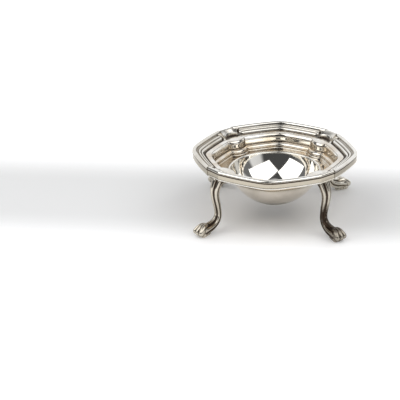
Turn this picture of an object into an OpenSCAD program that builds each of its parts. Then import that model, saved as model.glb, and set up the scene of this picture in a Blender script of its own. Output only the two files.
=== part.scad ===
// Open salt cellar: a round bowl hung in a shaped square tray on four cast paw legs.
// The origin is on the table under the centre of the bowl, and the blunt points of the rim lie on X and Y.

/* [Overall] */
// Height from the table to the top of the rim
total_height = 34; // [31:0.5:42]
// Centre to the blunt point in the middle of each rim side
point_reach = 42; // [41:0.25:44]
// How much nearer the centre each corner strap stands than the blunt points
corner_set_back = 3.3; // [2.6:0.1:4]
// Width of each corner strap
strap_width = 8.6; // [7:0.1:10]

/* [Rim outline] */
// Turn of each half side at its blunt point, in degrees
point_turn = 18.5; // [16:0.5:20]
// Rounding of the outline at the blunt point
point_radius = 15; // [14.8:0.1:17]
// Bow of each half side
side_radius = 115; // [90:1:160]

/* [Rim moulding] */
// Width of the moulding from its outer face to the border of the tray
moulding_width = 7; // [6.6:0.1:7.4]
// Height of the moulding over its seat
moulding_depth = 3.8; // [3.7:0.05:4]
// Radius of the outer roll
roll_radius = 1.1; // [1:0.05:1.2]
// Depth of the plain skirt below the top of the rim
skirt_depth = 4.8; // [4.6:0.1:6]
// Wall of the skirt
skirt_wall = 0.9; // [0.7:0.05:1.1]
// How far the skirt is set in under the roll
skirt_inset = 0.35; // [0.25:0.05:0.5]
// Radius of the bead along the foot of the skirt
foot_bead_radius = 0.45; // [0.38:0.01:0.5]
// Radius of each of the two reeds
reed_radius = 0.6; // [0.5:0.05:0.65]
// Distance between the two reeds
reed_pitch = 1.4; // [1.3:0.05:1.5]
// Radius of the groove that runs round the reeds
groove_radius = 0.55; // [0.45:0.01:0.57]
// Plain end of each moulding beyond its groove
moulding_end = 0.7; // [0.5:0.1:1.5]

/* [Tray] */
// Drop from the top of the rim to the flat border
border_drop = 3.3; // [3.1:0.05:3.4]
// Width of the flat border
border_width = 2.6; // [2.3:0.1:2.8]
// Height of the inner wall
wall_height = 7.6; // [7:0.1:8]
// How far the inner wall runs in towards the bowl
wall_run = 3.6; // [3.3:0.1:3.9]
// How far each corner of the inner wall stands in from the strap
corner_wall_inset = 10.3; // [10:0.1:10.6]
// Thickness of the tray sheet
sheet = 0.9; // [0.7:0.05:1.1]

/* [Bowl] */
// Flat ledge from the foot of the inner wall to the mouth of the bowl, at its narrowest
ledge_width = 1.6; // [1.3:0.1:1.9]
// Depth of the bowl below its mouth, outside
bowl_depth = 17.5; // [16:0.1:18.5]
// Wall of the bowl
bowl_wall = 0.8; // [0.6:0.05:1.2]
// Radius of the half round wire at the mouth
ring_radius = 0.75; // [0.6:0.05:0.9]

/* [Legs] */
// Depth of the leg at its top, from the front of the strap inwards
leg_top_depth = 5.4; // [4.8:0.1:6]
// How far the middle of the knee stands out from the strap over it
knee_out = 0.3; // [0:0.1:1]
// How far the middle of the ankle stands in from the strap over it
ankle_in = 1.8; // [1:0.1:2.5]
// How far the middle of the paw stands out from the strap over it
paw_out = 8.1; // [7:0.1:9]
// Half thickness of the knee
knee_half = 2.5; // [2.1:0.05:2.9]
// Half thickness of the ankle
ankle_half = 1.9; // [1.6:0.05:2.3]
// Width of the paw
paw_width = 8.4; // [7.4:0.1:9]
// Height of the paw
paw_height = 6.8; // [6:0.1:7.6]
// Length of the toes
toe_length = 5.2; // [4.5:0.1:6]
// Angle between neighbouring toes, in degrees
toe_spread = 17; // [14:0.5:19]
// How far the paw is pared off flat under its sole
sole_cut = 0.45; // [0.3:0.05:0.6]
// Depth of the flutes down the leg, as a share of its thickness
flute_share = 0.14; // [0.06:0.01:0.18]

/* [Fit] */
// Clearance between soldered pieces
seat_gap = 0.05; // [0.03:0.01:0.1]

/* [Hidden] */
$fn = 96;

silver = [0.80, 0.79, 0.76];
satin_silver = [0.68, 0.66, 0.62];
dark_silver = [0.52, 0.50, 0.46];

// Turns that bring the right hand side and the corner after it round the object
diagonal = 45;
side_turns = [-90, 0, 90, 180];
corner_turns = [for (turn = side_turns) turn + diagonal];

corner_reach = point_reach - corner_set_back;
knee_reach = corner_reach + knee_out;
ankle_reach = corner_reach - ankle_in;
paw_reach = corner_reach + paw_out;

// The outline: an arc round the blunt point, then a long flat arc to the corner
point_centre = point_reach - point_radius;
side_centre = [
    point_centre - (side_radius - point_radius) * cos(point_turn),
    -(side_radius - point_radius) * sin(point_turn)
];
half_strap = strap_width / 2;

// The smooth surface of the moulding falls from the roll to the border
slope_run = moulding_width - 2 * roll_radius;
slope_drop = border_drop - roll_radius;
reed_middle = 2 * roll_radius + slope_run / 2;
groove_swing = reed_pitch / 2 + reed_radius + groove_radius;
reed_sink_share = 0.2;

// The inner wall falls in a hollow band, then a broad roll and a small foot roll
wall_top = moulding_width + border_width;
ledge_drop = border_drop + wall_height;
edge_radius = wall_height / 15;
band_drop_shares = [0.25, 0.44, 0.55];
band_run_shares = [0.06, 0.16, 0.28];
roll_drop_shares = [0.59, 0.86];
roll_run_shares = [0.84, 1];
roll_radius_shares = [0.21, 0.08];
flange_outer = skirt_inset + skirt_wall + seat_gap;
flange_drop = moulding_depth + sheet;

// The bowl is a part of a sphere that hangs from its mouth inside the ledge
mouth_height = total_height - ledge_drop;
mouth_radius = corner_reach - corner_wall_inset - wall_run - ledge_width;
bowl_radius = (mouth_radius * mouth_radius + bowl_depth * bowl_depth) / (2 * bowl_depth);
bowl_centre = mouth_height - bowl_depth + bowl_radius;
ledge_hole = mouth_radius + seat_gap;

// The leg hangs from the strap and the flange over it
strap_length = corner_reach - (point_reach - moulding_width) + moulding_width / 4;
leg_top_height = total_height - flange_drop;
leg_top_reach = corner_reach - skirt_inset - leg_top_depth / 2;

// A place on one side, in from the outline by a distance, where t runs from the blunt point at 0
// to the plane beside the diagonal at 1, and to the other end at -1
point_share = 0.2;

function end_turn(inset, edge) =
    acos((edge * sqrt(2) - side_centre[0] + side_centre[1]) / (sqrt(2) * (side_radius - inset))) - diagonal;

function half_place(inset, t, edge) =
    t < point_share
        ? let (a = point_turn * t / point_share)
            [point_centre + (point_radius - inset) * cos(a), (point_radius - inset) * sin(a)]
        : let (
            part = (t - point_share) / (1 - point_share),
            a = point_turn + part * (end_turn(inset, edge) - point_turn)
        ) side_centre + (side_radius - inset) * [cos(a), sin(a)];

function side_place(inset, t, edge) =
    let (p = half_place(inset, abs(t), edge)) t < 0 ? [p[0], -p[1]] : p;

// A place on the corner that follows a side, beside its diagonal by a distance
function corner_place(inset, beside) =
    [corner_reach - inset - beside, corner_reach - inset + beside] / sqrt(2);

function turned(p, turn) =
    [p[0] * cos(turn) - p[1] * sin(turn), p[0] * sin(turn) + p[1] * cos(turn)];

// A skin over rings of points, with its ends closed or joined to each other
module skin(rings, closed) {
    count = len(rings);
    size = len(rings[0]);
    points = [for (ring = rings) each ring];
    last = closed ? count - 1 : count - 2;
    sides = [
        for (k = [0:last], i = [0:size - 1])
            let (j = (i + 1) % size, low = k * size, high = ((k + 1) % count) * size)
                each [[low + i, low + j, high + i], [low + j, high + j, high + i]]
    ];
    ends = closed ? [] : [
        [for (i = [size:-1:1]) i % size],
        [for (i = [0:size - 1]) (count - 1) * size + i]
    ];
    polyhedron(points, concat(sides, ends), convexity = 8);
}

// An arc in a profile: points at even angles about a centre
function arc(centre, radius, first, last, steps) =
    [for (i = [0:steps]) let (a = first + (last - first) * i / steps) centre + radius * [cos(a), sin(a)]];

// The reeds rise and their groove sinks by the distance from the middle line between the reeds
function relief(away) =
    away < reed_pitch / 2 + reed_radius
        ? sqrt(max(0, pow(reed_radius, 2) - pow(away - reed_pitch / 2, 2))) - reed_sink_share * reed_radius
        : -sqrt(max(0, pow(groove_radius, 2) - pow(away - groove_swing, 2)));

// Stations along a moulding: few along its run, and close together where the groove turns
end_loop = groove_swing + groove_radius;
half_length = point_radius * point_turn * PI / 180
    + (side_radius - reed_middle) * (end_turn(reed_middle, half_strap) - point_turn) * PI / 180;
reed_length = half_length - moulding_end - end_loop;
loop_shares = [0, 0.2, 0.4, 0.55, 0.7, 0.85, 1];
run_shares = [0, 0.1, point_share, 0.45, 0.7];
moulding_stations = concat(
    [for (share = run_shares) [share, 0]],
    [for (share = loop_shares) [(reed_length + share * end_loop) / half_length, share * end_loop]],
    [[1, end_loop + moulding_end]]
);
both_stations = concat(
    [for (i = [len(moulding_stations) - 1:-1:1]) moulding_stations[i]],
    [for (station = moulding_stations) [-station[0], station[1]]]
);

// Distances across the reeds at which the surface of the moulding bends
reed_flank_share = 0.7;
groove_flank_share = 0.6;
across_half = [
    0,
    reed_pitch / 2,
    reed_pitch / 2 + reed_flank_share * reed_radius,
    reed_pitch / 2 + reed_radius,
    groove_swing - groove_flank_share * groove_radius,
    groove_swing
];
across = concat(
    [-slope_run / 2],
    [for (i = [len(across_half) - 1:-1:1]) -across_half[i]],
    across_half,
    [slope_run / 2]
);

// The section of the moulding at one station: skirt, foot bead, roll, reeds and seat
bead_turns = [-30, -210];
roll_turns = [180, 25];

function moulding_section(past) =
    let (
        bead = [skirt_inset + skirt_wall / 2 - foot_bead_radius / 4, foot_bead_radius - skirt_depth],
        under_roll = acos((roll_radius - skirt_inset) / roll_radius)
    ) concat(
        [[skirt_inset + skirt_wall, -moulding_depth]],
        [[skirt_inset + skirt_wall, bead[1]]],
        arc(bead, foot_bead_radius, bead_turns[0], bead_turns[1], 4),
        [[skirt_inset, bead[1] + foot_bead_radius]],
        [[skirt_inset, -roll_radius - roll_radius * sin(under_roll)]],
        arc([roll_radius, -roll_radius], roll_radius, roll_turns[0], roll_turns[1], 5),
        [
            for (x = across)
                [
                    reed_middle + x,
                    relief(norm([x, past])) - roll_radius - (x / slope_run + 0.5) * slope_drop
                ]
        ],
        [[moulding_width, -moulding_depth]]
    );

// One length of rim moulding, with two reeds inside a groove that closes round their ends
module rim_moulding() {
    rings = [
        for (station = both_stations)
            [
                for (p = moulding_section(station[1]))
                    let (q = side_place(p[0], station[0], half_strap + seat_gap))
                        [q[0], q[1], total_height + p[1]]
            ]
    ];
    color(silver)
        skin(rings, false);
}

// The plain strap over a leg, with a roll along its outer edge a little lower than the roll of the rim
strap_sink_share = 0.5;
strap_slope_share = 2.5;
strap_profile = concat(
    [[skirt_inset, -flange_drop]],
    arc(
        [skirt_inset + roll_radius, -(1 + strap_sink_share) * roll_radius],
        roll_radius,
        180,
        45,
        6
    ),
    [
        [skirt_inset + strap_slope_share * roll_radius, -(roll_radius + border_drop) / 2],
        [strap_length, -border_drop],
        [strap_length, -moulding_depth],
        [skirt_inset + skirt_wall, -moulding_depth],
        [skirt_inset + skirt_wall, -flange_drop]
    ]
);

module corner_strap() {
    color(silver)
        translate([corner_reach, 0, total_height])
            rotate([90, 0, 180])
                linear_extrude(strap_width, center = true)
                    polygon(strap_profile);
}

// The tray in section, with a distance in from the sides, one in from the corners, a drop, and the share
// of the corner lobe that it takes part in. It runs from the seat of the moulding over the border
// and down the wall to the ledge, and back below.
corner_shift = wall_top - corner_wall_inset;
function tray_row(inset, drop) = [inset, inset - corner_shift, drop, 1];

// Rounded edge of the tray at one inset and drop
function tray_edge(inset, drop, radius) =
    [
        for (p = arc([inset - radius, drop + radius], radius, -90, 0, 3))
            tray_row(p[0], p[1])
    ];

function wall_roll(i) =
    tray_edge(
        wall_top + roll_run_shares[i] * wall_run,
        border_drop + roll_drop_shares[i] * wall_height,
        roll_radius_shares[i] * wall_height
    );

tray_section = concat(
    [
        [flange_outer, flange_outer, moulding_depth, 0],
        [moulding_width + seat_gap, strap_length + seat_gap, moulding_depth, 0],
        [moulding_width + seat_gap, strap_length + seat_gap, border_drop, 0]
    ],
    tray_edge(wall_top, border_drop, edge_radius),
    [
        for (i = [0:len(band_drop_shares) - 1])
            tray_row(
                wall_top + band_run_shares[i] * wall_run,
                border_drop + band_drop_shares[i] * wall_height
            )
    ],
    wall_roll(0),
    wall_roll(1),
    [tray_row(wall_top + wall_run, ledge_drop)],
    [[0, 0, ledge_drop, 0], [0, 0, ledge_drop + sheet, 0]],
    [
        tray_row(wall_top + wall_run - sheet, ledge_drop + sheet),
        tray_row(wall_top - sheet, border_drop + roll_drop_shares[0] * wall_height + sheet),
        tray_row(wall_top - sheet - edge_radius, flange_drop),
        [flange_outer, flange_outer, flange_drop, 0]
    ]
);

side_shares = concat(
    [-1],
    [for (i = [len(run_shares) - 1:-1:1]) -run_shares[i]],
    run_shares,
    [1]
);

// Each corner of the wall bulges in between the sides as a rounded lobe
lobe_turns = [-72, -40, 0, 40, 72];
lobe_width_share = 0.88;
lobe_half = lobe_width_share * half_strap;

function side_end_reach(inset) =
    let (p = side_place(inset, 1, half_strap)) (p[0] + p[1]) / sqrt(2);

lobe_depth = corner_wall_inset - corner_reach + side_end_reach(wall_top);

// A row with no inset lies on the round hole for the bowl
function on_hole(p) = ledge_hole * p / norm(p);

function side_ring(t) =
    [
        for (row = tray_section)
            let (
                p = side_place(row[0] == 0 ? wall_top : row[0], t, half_strap),
                q = row[0] == 0 ? on_hole(p) : p
            ) [q[0], q[1], total_height - row[2]]
    ];

function corner_ring(turn) =
    let (beside = lobe_half * sin(turn) / sin(max(lobe_turns)))
        [
            for (row = tray_section)
                let (
                    p = corner_place(
                        row[0] == 0 ? wall_top : row[1] - row[3] * lobe_depth * (1 - cos(turn)),
                        beside
                    ),
                    q = row[0] == 0 ? on_hole(p) : p
                ) [q[0], q[1], total_height - row[2]]
        ];

module surround() {
    quarter = concat(
        [for (t = side_shares) side_ring(t)],
        [for (turn = lobe_turns) corner_ring(turn)]
    );
    rings = [
        for (turn = side_turns, ring = quarter)
            [for (p = ring) let (q = turned(p, turn)) [q[0], q[1], p[2]]]
    ];
    color(satin_silver)
        skin(rings, true);
}

module bowl() {
    color(silver)
        difference() {
            translate([0, 0, bowl_centre])
                sphere(bowl_radius);
            translate([0, 0, bowl_centre])
                sphere(bowl_radius - bowl_wall);
            translate([0, 0, mouth_height])
                cylinder(h = 2 * bowl_radius, r = 2 * bowl_radius);
        }
}

module bowl_ring() {
    color(silver)
        translate([0, 0, mouth_height])
            rotate_extrude()
                translate([mouth_radius, 0])
                    intersection() {
                        circle(ring_radius);
                        translate([-ring_radius, 0])
                            square([2 * ring_radius, ring_radius]);
                    }
}

// The line of the leg from its top to the toes: reach, height, half depth and half width
leg_height_shares = [0.92, 0.78, 0.65, 0.48, 0.33];
knee_depth_shares = [1.15, 1.05, 0.9];
knee_width_shares = [1.3, 1.05, 0.9];
heel_depth_share = 1.1;
heel_width_share = 1.2;
paw_run_shares = [0.25, 0.58];
paw_line_shares = [0.68, 0.54, 0.46, 0.4];
paw_depth_shares = [0.35, 0.4, 0.44, 0.3];
paw_width_shares = [0.3, 0.36, 0.42, 0.34];
leg_stations = concat(
    [
        [leg_top_reach, leg_top_height + sheet, leg_top_depth / 2, half_strap],
        [leg_top_reach, leg_top_height, leg_top_depth / 2, half_strap]
    ],
    [
        for (i = [0:2])
            [
                i == 0 ? (leg_top_reach + knee_reach) / 2 : knee_reach,
                leg_height_shares[i] * leg_top_height,
                knee_depth_shares[i] * knee_half,
                knee_width_shares[i] * knee_half
            ]
    ],
    [
        [(knee_reach + ankle_reach) / 2, leg_height_shares[3] * leg_top_height, ankle_half, ankle_half],
        [ankle_reach, leg_height_shares[4] * leg_top_height, ankle_half, ankle_half],
        [
            ankle_reach + ankle_half / 2,
            paw_height,
            heel_depth_share * ankle_half,
            heel_width_share * ankle_half
        ]
    ],
    [
        for (i = [0:3])
            [
                i < 2
                    ? ankle_reach + paw_run_shares[i] * (paw_reach - ankle_reach)
                    : paw_reach + (i - 2) * toe_length / 3,
                paw_line_shares[i] * paw_height,
                paw_depth_shares[i] * paw_height,
                paw_width_shares[i] * paw_width
            ]
    ]
);
leg_rounds = 20;
leg_flutes = 5;
leg_steps = 2;

function curve_point(a, b, c, d, t) =
    0.5 * (2 * b + (c - a) * t + (2 * a - 5 * b + 4 * c - d) * t * t + (3 * b - a - 3 * c + d) * t * t * t);

function leg_curve(s) =
    let (
        last = len(leg_stations) - 1,
        i = min(floor(s), last - 1),
        a = leg_stations[max(i - 1, 0)],
        b = leg_stations[i],
        c = leg_stations[i + 1],
        d = leg_stations[min(i + 2, last)]
    ) curve_point(a, b, c, d, s - i);

function leg_ring(s) =
    let (
        last = len(leg_stations) - 1,
        reach = 1 / leg_steps,
        here = leg_curve(s),
        before = leg_curve(max(s - reach, 0)),
        after = leg_curve(min(s + reach, last)),
        run = after[0] - before[0],
        rise = after[1] - before[1],
        size = sqrt(run * run + rise * rise),
        fade = max(0, sin(180 * min(1, s / (last - 2))))
    ) [
        for (i = [0:leg_rounds - 1])
            let (
                a = 360 * i / leg_rounds,
                f = 1 - flute_share * fade * (1 - cos(leg_flutes * a)) / 2,
                u = here[2] * f * cos(a),
                v = here[3] * f * sin(a)
            ) [here[0] - u * rise / size, v, here[1] + u * run / size]
    ];

module leg_shank() {
    count = (len(leg_stations) - 1) * leg_steps;
    skin([for (k = [0:count]) leg_ring(k / leg_steps)], false);
}

// Three toes, each a knuckle, a middle and a rounded tip that is lifted off the table
toe_radius = paw_width / 4.6;
toe_facets = 12;
toe_height_shares = [0.68, 0.52, 0.38];
toe_reach_shares = [0, 0.5, 0.9];
toe_size_shares = [1.05, 1.12, 0.95];

module toe_ball(reach, height, radius) {
    translate([reach, 0, height])
        sphere(radius, $fn = toe_facets);
}

module toe() {
    for (i = [0:1])
        hull()
            for (k = [i, i + 1])
                toe_ball(
                    paw_width / 2 + (toe_length - toe_radius) * toe_reach_shares[k],
                    toe_height_shares[k] * paw_height,
                    toe_radius * toe_size_shares[k]
                );
    hull() {
        toe_ball(toe_radius, toe_radius - sole_cut, toe_radius);
        toe_ball(paw_width / 2 + toe_length / 4, toe_radius - sole_cut, toe_radius);
    }
}

module paw() {
    for (i = [-1:1])
        translate([paw_reach - paw_width / 2, 0, 0])
            rotate([0, 0, i * toe_spread])
                toe();
}

module leg() {
    color(dark_silver)
        intersection() {
            union() {
                leg_shank();
                paw();
            }
            translate([0, -paw_width, 0])
                cube([2 * paw_reach, 2 * paw_width, leg_top_height]);
        }
}

module at_side(i) {
    rotate([0, 0, side_turns[i]])
        children();
}

module at_corner(i) {
    rotate([0, 0, corner_turns[i]])
        children();
}

bowl();
bowl_ring();
surround();
at_side(0) rim_moulding();  // rim_front
at_side(1) rim_moulding();  // rim_right
at_side(2) rim_moulding();  // rim_back
at_side(3) rim_moulding();  // rim_left
at_corner(0) corner_strap();  // strap_front_right
at_corner(1) corner_strap();  // strap_back_right
at_corner(2) corner_strap();  // strap_back_left
at_corner(3) corner_strap();  // strap_front_left
at_corner(0) leg();  // leg_front_right
at_corner(1) leg();  // leg_back_right
at_corner(2) leg();  // leg_back_left
at_corner(3) leg();  // leg_front_left
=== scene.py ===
"""An open silver salt cellar.

A bowl in a shaped tray, with four reeded rim mouldings, four corner straps and four paw legs.
"""

import math

import bmesh
import bpy
import numpy as np
from mathutils import Matrix, Vector
from mathutils.kdtree import KDTree


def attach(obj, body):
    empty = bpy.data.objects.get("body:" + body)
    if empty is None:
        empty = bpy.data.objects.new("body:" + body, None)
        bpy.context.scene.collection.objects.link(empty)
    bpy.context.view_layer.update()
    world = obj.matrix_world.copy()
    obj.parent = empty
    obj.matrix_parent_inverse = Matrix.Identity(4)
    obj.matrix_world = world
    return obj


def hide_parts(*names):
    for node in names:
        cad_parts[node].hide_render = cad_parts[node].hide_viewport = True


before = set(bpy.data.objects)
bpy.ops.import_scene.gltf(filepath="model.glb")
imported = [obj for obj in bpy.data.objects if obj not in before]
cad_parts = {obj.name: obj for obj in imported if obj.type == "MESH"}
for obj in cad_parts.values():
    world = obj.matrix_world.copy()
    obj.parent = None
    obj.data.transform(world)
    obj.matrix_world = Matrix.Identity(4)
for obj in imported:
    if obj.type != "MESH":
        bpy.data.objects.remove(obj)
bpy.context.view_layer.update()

# Sizes of the object, in millimetres and degrees, as in the part's source
MM = 0.001
TOTAL_HEIGHT = 34.0
POINT_REACH = 42.0
CORNER_REACH = 38.7
STRAP_WIDTH = 8.6
POINT_TURN = 18.5
POINT_RADIUS = 15.0
SIDE_RADIUS = 115.0
MOULDING_WIDTH = 7.0
MOULDING_DEPTH = 3.8
ROLL_RADIUS = 1.1
SKIRT_DEPTH = 4.8
SKIRT_WALL = 0.9
SKIRT_INSET = 0.35
FOOT_BEAD = 0.45
REED_RADIUS = 0.6
REED_PITCH = 1.4
REED_SINK = 0.2
GROOVE_RADIUS = 0.55
MOULDING_END = 0.7
BORDER_DROP = 3.3
BORDER_WIDTH = 2.6
WALL_HEIGHT = 7.6
WALL_RUN = 3.6
CORNER_WALL_INSET = 10.3
SHEET = 0.9
LEDGE_WIDTH = 1.6
BOWL_DEPTH = 17.5
BOWL_WALL = 0.8
RING_RADIUS = 0.75
LEG_TOP_DEPTH = 5.4
KNEE_REACH = 39.0
ANKLE_REACH = 36.9
PAW_REACH = 46.8
KNEE_HALF = 2.5
ANKLE_HALF = 1.9
PAW_WIDTH = 8.4
PAW_HEIGHT = 6.8
TOE_LENGTH = 5.2
TOE_SPREAD = 17.0
SOLE_CUT = 0.45
SEAT_GAP = 0.05

POINT_CENTRE = POINT_REACH - POINT_RADIUS
SIDE_X = POINT_CENTRE - (SIDE_RADIUS - POINT_RADIUS) * math.cos(math.radians(POINT_TURN))
SIDE_Y = -(SIDE_RADIUS - POINT_RADIUS) * math.sin(math.radians(POINT_TURN))
HALF_STRAP = STRAP_WIDTH / 2
SLOPE_RUN = MOULDING_WIDTH - 2 * ROLL_RADIUS
SLOPE_DROP = BORDER_DROP - ROLL_RADIUS
REED_MIDDLE = 2 * ROLL_RADIUS + SLOPE_RUN / 2
GROOVE_SWING = REED_PITCH / 2 + REED_RADIUS + GROOVE_RADIUS
END_LOOP = GROOVE_SWING + GROOVE_RADIUS
WALL_TOP = MOULDING_WIDTH + BORDER_WIDTH
LEDGE_DROP = BORDER_DROP + WALL_HEIGHT
FLANGE_DROP = MOULDING_DEPTH + SHEET
MOUTH_HEIGHT = TOTAL_HEIGHT - LEDGE_DROP
MOUTH_RADIUS = CORNER_REACH - CORNER_WALL_INSET - WALL_RUN - LEDGE_WIDTH
BOWL_RADIUS = (MOUTH_RADIUS**2 + BOWL_DEPTH**2) / (2 * BOWL_DEPTH)
BOWL_CENTRE = MOUTH_HEIGHT - BOWL_DEPTH + BOWL_RADIUS
LEG_TOP = TOTAL_HEIGHT - FLANGE_DROP
LEG_TOP_REACH = CORNER_REACH - SKIRT_INSET - LEG_TOP_DEPTH / 2
HEEL_REACH = PAW_REACH - PAW_WIDTH / 2
TOE_RADIUS = PAW_WIDTH / 4.6

SIDE_TURNS = {"front": -90, "right": 0, "back": 90, "left": 180}
CORNER_TURNS = {"front_right": -45, "back_right": 45, "back_left": 135, "front_left": 225}


# The outline, as in the part's source

# The share of half a side that its rounded blunt point takes
POINT_SHARE = 0.2


def end_turn(inset, edge):
    """The turn about a side's centre where the side meets the plane beside the diagonal."""
    reach = (edge * math.sqrt(2) - SIDE_X + SIDE_Y) / (math.sqrt(2) * (SIDE_RADIUS - inset))
    return math.degrees(math.acos(reach)) - 45


def half_place(inset, t, edge, softer=0.0):
    """A place in from the outline: t is 0 at the blunt point and 1 at the plane beside the diagonal."""
    apart = SIDE_RADIUS - POINT_RADIUS - softer
    point_turn = math.degrees(math.asin(-SIDE_Y / apart))
    if t < POINT_SHARE:
        a = math.radians(point_turn * t / POINT_SHARE)
        radius = POINT_RADIUS + softer - inset
        return SIDE_X + math.sqrt(apart**2 - SIDE_Y**2) + radius * math.cos(a), radius * math.sin(a)
    part = (t - POINT_SHARE) / (1 - POINT_SHARE)
    a = math.radians(point_turn + part * (end_turn(inset, edge) - point_turn))
    radius = SIDE_RADIUS - inset
    return SIDE_X + radius * math.cos(a), SIDE_Y + radius * math.sin(a)


def side_place(inset, t, edge, softer=0.0):
    """A place on a whole side: t runs from -1 to 1 through the blunt point."""
    x, y = half_place(inset, abs(t), edge, softer)
    return (x, -y) if t < 0 else (x, y)


def corner_place(inset, beside):
    """A place in from a corner's straight end, at a distance beside the diagonal."""
    reach = CORNER_REACH - inset
    return (reach - beside) / math.sqrt(2), (reach + beside) / math.sqrt(2)


def turned(points, degrees):
    """Points turned about the upright middle line of the object."""
    a = math.radians(degrees)
    turn = np.array([[math.cos(a), -math.sin(a), 0], [math.sin(a), math.cos(a), 0], [0, 0, 1]])
    return np.asarray(points, float) @ turn.T


def arc(cx, cz, radius, first, last, steps):
    """Points of an arc in a section, from its first turn to its last, in degrees."""
    turns = np.radians(np.linspace(first, last, steps + 1))
    return [(cx + radius * math.cos(a), cz + radius * math.sin(a)) for a in turns]


# Meshes


def smooth_line(rows, steps):
    """Rows between the given rows, on a smooth curve through them."""
    last = len(rows) - 1
    out = []
    for k in range(last * steps + 1):
        s = k / steps
        i = min(int(s), last - 1)
        t = s - i
        a, b, c, d = rows[max(i - 1, 0)], rows[i], rows[i + 1], rows[min(i + 2, last)]
        cubic = 3 * b - a - 3 * c + d
        out.append(0.5 * (2 * b + (c - a) * t + (2 * a - 5 * b + 4 * c - d) * t * t + cubic * t**3))
    return np.array(out)


def ring_faces(count, size, steps):
    """The faces between each ring of points and the next, for a number of steps along the rings."""
    faces = []
    for k in range(steps):
        low, high = k * size, ((k + 1) % count) * size
        for i in range(size):
            j = (i + 1) % size
            faces.append((low + i, low + j, high + j, high + i))
    return faces


def loft(name, rings):
    """A mesh over rings of points, in millimetres, with its ends closed by a fan about their middle."""
    rings = np.asarray(rings, float)
    count, size = rings.shape[:2]
    points = [tuple(p) for p in rings.reshape(-1, 3) * MM]
    faces = ring_faces(count, size, count - 1)
    for ring, start in ((rings[0], 0), (rings[-1], (count - 1) * size)):
        middle = len(points)
        points.append(tuple(ring.mean(axis=0) * MM))
        faces += [(start + (i + 1) % size, start + i, middle) for i in range(size)]
    mesh = bpy.data.meshes.new(name)
    mesh.from_pydata(points, [], faces)
    return outward(mesh)


def outward(mesh):
    """Joins points that coincide, and turns all faces outwards."""
    shell = bmesh.new()
    shell.from_mesh(mesh)
    bmesh.ops.remove_doubles(shell, verts=shell.verts, dist=1e-7)
    bmesh.ops.recalc_face_normals(shell, faces=shell.faces)
    shell.to_mesh(mesh)
    shell.free()
    mesh.update()
    return mesh


def store(mesh, name, values):
    """Keeps one number for each point of a mesh, which the finishes read."""
    layer = mesh.attributes.get(name) or mesh.attributes.new(name, "FLOAT", "POINT")
    layer.data.foreach_set("value", np.asarray(values, np.float32))


END_DARK = 0.15


def store_both(mesh, kept):
    """Keeps tarnish with painted shade, and tone, for the rings of a loft, and a faint dark for the middles
    of its ends.
    """
    rest = len(mesh.vertices) - len(kept)
    kept = np.concatenate([kept, np.full((rest, 2), END_DARK)]) if rest > 0 else kept
    store(mesh, "tarnish_and_shade", kept[:, 0])
    store(mesh, "tone", kept[:, 1])


def hollows(mesh, reach_mm, rounds):
    """How far each point of a mesh lies in a hollow: 0 on a flat or a ridge, 1 deep in a groove."""
    count = len(mesh.vertices)
    place = np.empty(count * 3)
    mesh.vertices.foreach_get("co", place)
    place = place.reshape(-1, 3) / MM
    facing = np.empty(count * 3)
    mesh.vertices.foreach_get("normal", facing)
    facing = facing.reshape(-1, 3)
    ends = np.empty(len(mesh.edges) * 2, int)
    mesh.edges.foreach_get("vertices", ends)
    a, b = ends.reshape(-1, 2).T
    step = place[b] - place[a]
    size2 = np.maximum((step**2).sum(axis=1), 1e-6)
    bend = np.zeros(count)
    links = np.zeros(count)
    np.add.at(bend, a, 2 * (facing[a] * step).sum(axis=1) / size2)
    np.add.at(bend, b, -2 * (facing[b] * step).sum(axis=1) / size2)
    np.add.at(links, a, 1)
    np.add.at(links, b, 1)
    bend = np.clip(bend / np.maximum(links, 1) * reach_mm, -2, 2)
    for _ in range(rounds):
        total = np.zeros(count)
        np.add.at(total, a, bend[b])
        np.add.at(total, b, bend[a])
        bend = 0.5 * bend + 0.5 * total / np.maximum(links, 1)
    store(mesh, "hollow", np.clip(bend, 0, 1))
    store(mesh, "ridge", np.clip(-bend, 0, 1))


def set_piece(name, mesh, nodes, finish, sharp):
    """A finished piece that stands for its CAD nodes, with edges sharp from an angle in degrees."""
    mesh.name = name
    mesh.shade_smooth()
    mesh.set_sharp_from_angle(angle=math.radians(sharp))
    mesh.materials.clear()
    for material in finish:
        mesh.materials.append(material)
    piece = bpy.data.objects.new(name, mesh)
    bpy.context.scene.collection.objects.link(piece)
    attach(piece, "root")
    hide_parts(*nodes)
    return piece


def plain_mesh(piece, name):
    """The result of a piece's modifiers as a plain mesh; the working piece is taken away."""
    bpy.context.view_layer.update()
    ready = piece.evaluated_get(bpy.context.evaluated_depsgraph_get())
    mesh = bpy.data.meshes.new_from_object(ready)
    mesh.name = name
    bpy.data.objects.remove(piece)
    return mesh


def working_piece(name, mesh):
    """An object that only carries modifiers until its result is taken."""
    piece = bpy.data.objects.new(name, mesh)
    bpy.context.scene.collection.objects.link(piece)
    return piece


# Silver


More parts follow.
